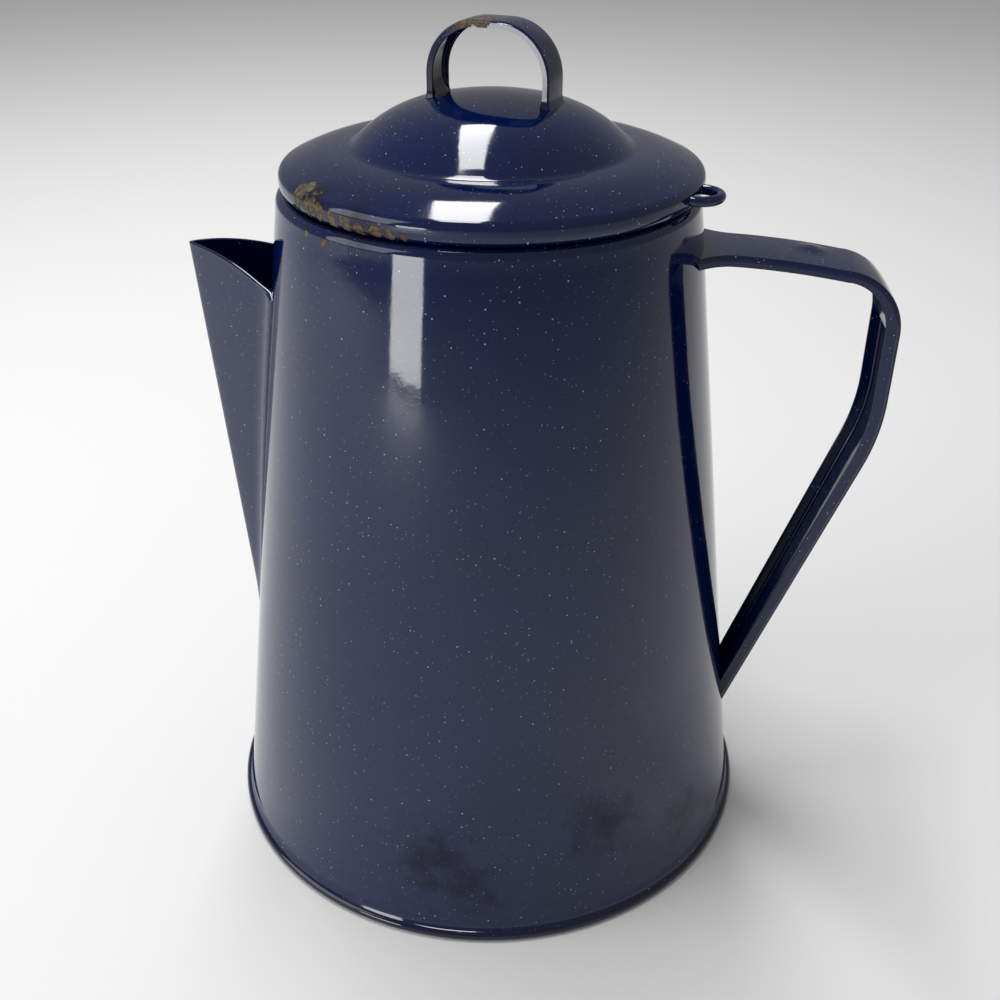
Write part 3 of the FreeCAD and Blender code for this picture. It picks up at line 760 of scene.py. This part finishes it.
def make_handle_strap():
    rings = []
    stations = strap_path()
    for x, z, heading in stations:
        inward = Vector((sin(heading), 0, -cos(heading)))
        share = smooth(-heading, DROOP, pi / 2)
        depth = ROOT_DEEP + (STRAP_DEEP - ROOT_DEEP) * share
        half = strap_half(x, z)
        ring = []
        for across, deep in channel_section(2 * half, depth, SHEET, 1.2, 0.25):
            dent = dimple(x, across) if deep < 0.6 else 0
            ring.append(Vector((x, across, z)) + inward * (deep - dent))
        rings.append(ring)
    last_heading = stations[-1][2]
    land(rings, 0, 1, 10, Vector((1, 0, 0)))
    land(rings, len(rings) - 1, -1, 16, Vector((-cos(last_heading), 0, -sin(last_heading))))
    points, faces = skin(rings)
    build("handle_channel", points, faces, enamel, "pot", ["handle_strap"])


def make_handle_liner():
    gap = SHEET + 1.1
    thick = 0.9
    half = STRAP_WIDE / 2 - SHEET
    rings = []
    for x, z, heading in strap_path():
        if z < BEND_Z and heading < -pi / 2 + 0.01:
            break
        inward = Vector((sin(heading), 0, -cos(heading)))
        section = trace(
            [
                (-half, gap + 0.3),
                (-half + 0.3, gap, 0.3, -1),
                (half - 0.3, gap),
                (half, gap + 0.3, 0.3, -1),
                (half, gap + thick - 0.3),
                (half - 0.3, gap + thick, 0.3, -1),
                (-half + 0.3, gap + thick),
                (-half, gap + thick - 0.3, 0.3, -1),
            ],
            30,
        )
        rings.append([Vector((x, across, z)) + inward * deep for across, deep in section])
    land(rings, 0, 1, 10, Vector((1, 0, 0)))
    points, faces = skin(rings)
    build("handle_lining", points, faces, enamel, "pot", ["handle_liner"])


# ---------------------------------------------------------------- the spout

SPOUT_TOE = 47.0
TOE_REACH = wall_r(SPOUT_TOE) + 0.1
TIP_REACH = -spout_low.x
TIP_Z = spout_high.z
RIDGE_LEAN = (TIP_REACH - TOE_REACH) / (TIP_Z - SPOUT_TOE)
RIDGE_HALF = 1.1
FLARE = 0.637  # half width gained per millimetre behind the ridge
LIP_X = 82.2
LIP_Z = 124.0
LIP_R = 48.9
FLANGE = 3.5
FLANGE_STAND = 0.8  # how far the flange's face stands off the wall
FILLET = 3.4
LIP_BEAD = 0.6


def fold_x(z, s, inset):
    """Reach of the folded V at a height and a distance s to one side."""
    nose = RIDGE_HALF - 0.45 * inset
    return ridge_at(z) - 1.1 * inset - (hypot(s, nose) - nose) / FLARE


def ridge_at(z):
    return TOE_REACH + RIDGE_LEAN * (z - SPOUT_TOE)


def plate_x(z, s, stand):
    return sqrt((wall_r(z) + stand) ** 2 - s**2)


def lip_at(reach):
    """Height of the lip, which is an arc seen from the side."""
    return LIP_Z + sqrt(LIP_R**2 - (min(reach, LIP_X) - LIP_X) ** 2)


def flange_half(z):
    """Half width of the spout to the flanges' edges, with a rounded toe."""
    low, high = 0.0, 40.0
    if fold_x(z, 0, 0) <= plate_x(z, 0, FLANGE_STAND):
        high = 0.0
    for _ in range(30):
        middle = (low + high) / 2
        outside = fold_x(z, middle, 0) > plate_x(z, middle, FLANGE_STAND)
        low, high = (middle, high) if outside else (low, middle)
    rise = clamp((z - spout_low.z) / FLANGE)
    return high + 0.2 + (FLANGE - 0.2) * sqrt(1 - (1 - rise) ** 2)


def spout_outside(z, u):
    """A point of the outer face: u runs from -1 to 1 between the flanges' edges."""
    half = flange_half(z)
    s = u * half
    edge = clamp((half - abs(s)) / FLANGE_STAND)
    stand = FLANGE_STAND * sqrt(1 - (1 - edge) ** 2) - 0.15 * (1 - edge)
    plate, fold = plate_x(z, s, stand), fold_x(z, s, 0)
    near = clamp(1 - abs(plate - fold) / FILLET)
    return Vector((-max(plate, fold) - FILLET * near**2 / 4 * edge, s, z))


def spout_inside(z, u):
    """A point of the inner face, which ends inside the thickness of the wall."""
    s = u * flange_half(z)
    s *= 1 - 0.12 * (1 - abs(u))
    return Vector((-max(plate_x(z, s, -0.5), fold_x(z, s, SHEET)), s, z))


def spout_column(u, rows=84, bead=6):
    """A closed loop of points up the outer face, over the lip's bead and down the inner face."""
    top = TIP_Z
    for _ in range(6):
        top = lip_at(-spout_outside(top, u).x)
    heights = [spout_low.z + (top - LIP_BEAD - spout_low.z) * i / rows for i in range(rows + 1)]
    column = [spout_outside(z, u) for z in heights]
    inner = [spout_inside(z, u) for z in reversed(heights)]
    middle = (column[-1] + inner[0]) / 2
    across = column[-1] - middle
    swell = 1 + 0.3 * clamp(3 * (1 - abs(u)))
    for i in range(1, bead):
        a = pi * i / bead
        column.append(middle + across * cos(a) * swell + Vector((0, 0, LIP_BEAD * sin(a))))
    return column + inner


def make_spout():
    count = 96
    spread = [k / count * 2 - 1 for k in range(count + 1)]
    # columns crowd together at the ridge, where the fold is tight
    columns = [spout_column(t * (0.45 + 0.55 * abs(t))) for t in spread]
    points, faces = skin(columns)
    build("spout_fold", points, faces, enamel, "pot", ["spout"])


make_base_pan()
make_body_shell()
make_lid_cover()
make_lid_collar()
make_lid_loop()
make_lid_eyelet()
make_handle_strap()
make_handle_liner()
make_spout()
for name in ("pump_tube", "pump_foot", "stem_stop", "basket_cup", "basket_sleeve", "basket_cover"):
    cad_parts[name].data.materials.clear()
    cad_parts[name].data.materials.append(aluminium)


# ---------------------------------------------------------------- camera, floor and light


def make_camera():
    place = Vector((32.13, -305.71, 274.94)) * MM
    heading, pitch, roll = radians(-5.404), radians(30.09), radians(0.332)
    forward = Vector((sin(heading) * cos(pitch), cos(heading) * cos(pitch), -sin(pitch)))
    level = Vector((cos(heading), -sin(heading), 0))
    upward = level.cross(forward)
    right = level * cos(roll) + upward * sin(roll)
    over = right.cross(forward)
    turn = Matrix((right, over, -forward)).transposed()
    lens = bpy.data.cameras.new("camera")
    lens.lens = 43.08
    lens.sensor_width = 36
    lens.clip_start = 0.01
    camera = bpy.data.objects.new("camera", lens)
    camera.matrix_world = Matrix.Translation(place) @ turn.to_4x4()
    bpy.context.scene.collection.objects.link(camera)
    bpy.context.scene.camera = camera


def make_floor():
    mesh = bpy.data.meshes.new("floor")
    reach = 3.0
    corners = [(-reach, -reach, 0), (reach, -reach, 0), (reach, reach, 0), (-reach, reach, 0)]
    mesh.from_pydata(corners, [], [(0, 1, 2, 3)])
    floor = bpy.data.objects.new("floor", mesh)
    bpy.context.scene.collection.objects.link(floor)
    material, _, surface, _ = new_material("pale_floor")
    surface.inputs["Base Color"].default_value = (0.9, 0.9, 0.9, 1)
    surface.inputs["Roughness"].default_value = 0.9
    mesh.materials.append(material)


def soft_box(name, place, target, size, radiance):
    """A rectangular area light that shows in reflections, but not to the camera."""
    data = bpy.data.lights.new(name, "AREA")
    data.shape = "RECTANGLE"
    data.size, data.size_y = size
    data.energy = radiance * pi * size[0] * size[1]
    lamp = bpy.data.objects.new(name, data)
    place, target = Vector(place), Vector(target)
    lamp.location = place
    lamp.rotation_euler = (target - place).to_track_quat("-Z", "Y").to_euler()
    lamp.visible_camera = False
    bpy.context.scene.collection.objects.link(lamp)


def make_world():
    world = bpy.data.worlds.new("plain_studio")
    world.use_nodes = True
    tree = world.node_tree
    tree.nodes.clear()
    light = node(tree, "Background", {"Color": (1, 1, 1, 1), "Strength": 0.28})
    node(tree, "OutputWorld", {"Surface": light.outputs[0]})
    bpy.context.scene.world = world


make_camera()
make_floor()
soft_box("overhead", (-0.16, 0.30, 1.20), (-0.16, 0.301, 0), (0.22, 0.96), 15)
soft_box("left_panel", (-0.95, -0.45, 0.55), (0, 0, 0.1), (0.8, 0.9), 2.4)
soft_box("front_strip", (-0.45, -0.66, 0.09), (0, 0, 0.15), (0.22, 0.16), 9)
make_world()
bpy.context.scene.view_settings.view_transform = "Standard"
